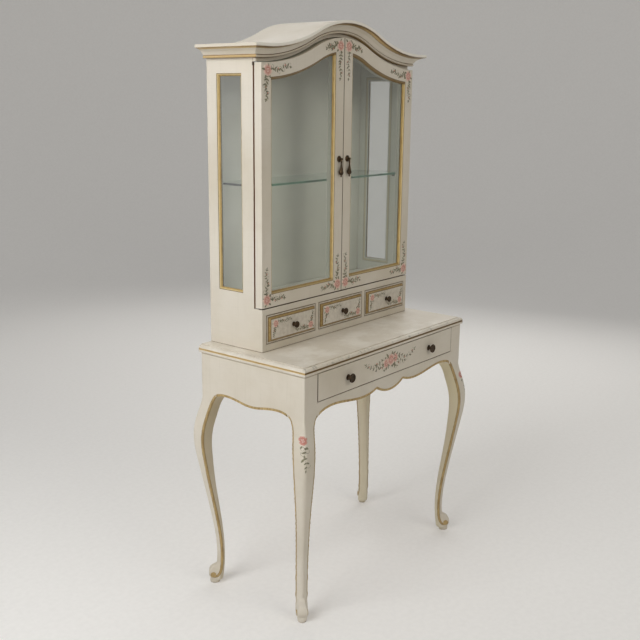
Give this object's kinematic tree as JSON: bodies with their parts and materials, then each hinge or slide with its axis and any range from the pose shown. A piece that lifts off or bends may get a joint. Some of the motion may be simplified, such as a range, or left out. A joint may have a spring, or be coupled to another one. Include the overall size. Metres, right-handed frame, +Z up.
{
  "type": "bonheur du jour",
  "caption": "Small ladies' writing desk on cabriole legs with a drawer, carrying a glazed display cabinet with arched doors, a glass shelf and a row of small drawers.",
  "frame": {"origin": "on the floor, under the middle of the whole piece", "axes": "+X to the right of a person who faces the front, +Y towards the back, +Z up"},
  "size_m": [0.8574, 0.4394, 1.682],
  "materials": {
    "cream_paint": "antique cream paint, satin, slightly worn",
    "gilding": "dull gold paint with brown glaze",
    "bare_wood": "bare, planed",
    "glass": "clear",
    "bronze": "dark antique bronze",
    "steel": "satin"
  },
  "bodies": {
    "desk_and_cabinet": {"desk_top": "cream_paint", "leg_front_left": "cream_paint", "leg_front_right": "cream_paint", "leg_rear_left": "cream_paint", "leg_rear_right": "cream_paint", "side_apron_left": "cream_paint", "side_apron_right": "cream_paint", "front_apron": "cream_paint", "back_apron": "cream_paint", "desk_drawer_runners": "bare_wood", "corner_blocks": "bare_wood", "side_panel_left": "cream_paint", "side_panel_right": "cream_paint", "side_glass": "glass", "side_glass_beads": "gilding", "cabinet_bottom": "cream_paint", "display_floor": "cream_paint", "drawer_dividers": "cream_paint", "back_panel": "cream_paint", "frieze_board": "cream_paint", "roof_board": "cream_paint", "cornice_front": "cream_paint", "cornice_left": "cream_paint", "cornice_right": "cream_paint", "glass_shelf": "glass", "shelf_pins": "steel", "cabinet_hinge_plates": "steel", "door_catches": "cream_paint"},
    "desk_drawer": {"desk_drawer_front": "cream_paint", "desk_drawer_box": "bare_wood", "desk_drawer_bottom": "bare_wood", "desk_drawer_knobs": "bronze"},
    "left_door": {"left_door_outer_stile": "cream_paint", "left_door_inner_stile": "cream_paint", "left_door_top_rail": "cream_paint", "left_door_bottom_rail": "cream_paint", "left_door_glass": "glass", "left_door_beads": "gilding", "left_door_hinge_leaves": "steel", "left_pull_mount": "bronze"},
    "left_pull": {"left_pull_drop": "bronze"},
    "right_door": {"right_door_outer_stile": "cream_paint", "right_door_inner_stile": "cream_paint", "right_door_top_rail": "cream_paint", "right_door_bottom_rail": "cream_paint", "right_door_glass": "glass", "right_door_beads": "gilding", "right_door_hinge_leaves": "steel", "right_pull_mount": "bronze"},
    "right_pull": {"right_pull_drop": "bronze"},
    "left_drawer": {"left_drawer_front": "cream_paint", "left_drawer_box": "bare_wood", "left_drawer_knob": "bronze"},
    "middle_drawer": {"middle_drawer_front": "cream_paint", "middle_drawer_box": "bare_wood", "middle_drawer_knob": "bronze"},
    "right_drawer": {"right_drawer_front": "cream_paint", "right_drawer_box": "bare_wood", "right_drawer_knob": "bronze"}
  },
  "joints": [
    {"name": "desk_drawer_slide", "type": "slide", "parent": "desk_and_cabinet", "child": "desk_drawer", "axis": [0, -1, 0], "range_m": [0, 0.24]},
    {"name": "left_drawer_slide", "type": "slide", "parent": "desk_and_cabinet", "child": "left_drawer", "axis": [0, -1, 0], "range_m": [0, 0.13]},
    {"name": "middle_drawer_slide", "type": "slide", "parent": "desk_and_cabinet", "child": "middle_drawer", "axis": [0, -1, 0], "range_m": [0, 0.13]},
    {"name": "right_drawer_slide", "type": "slide", "parent": "desk_and_cabinet", "child": "right_drawer", "axis": [0, -1, 0], "range_m": [0, 0.13]},
    {"name": "left_door_hinge", "type": "hinge", "parent": "desk_and_cabinet", "child": "left_door", "pos_m": [-0.3548, 0.0165, 1.2], "axis": [0, 0, -1], "range_deg": [0, 95]},
    {"name": "left_pull_hinge", "type": "hinge", "parent": "left_door", "child": "left_pull", "pos_m": [-0.02, -0.013, 1.2887], "axis": [-1, 0, 0], "range_deg": [0, 80]},
    {"name": "right_door_hinge", "type": "hinge", "parent": "desk_and_cabinet", "child": "right_door", "pos_m": [0.3548, 0.0165, 1.2], "axis": [0, 0, 1], "range_deg": [0, 95]},
    {"name": "right_pull_hinge", "type": "hinge", "parent": "right_door", "child": "right_pull", "pos_m": [0.02, -0.013, 1.2887], "axis": [-1, 0, 0], "range_deg": [0, 80]}
  ]
}
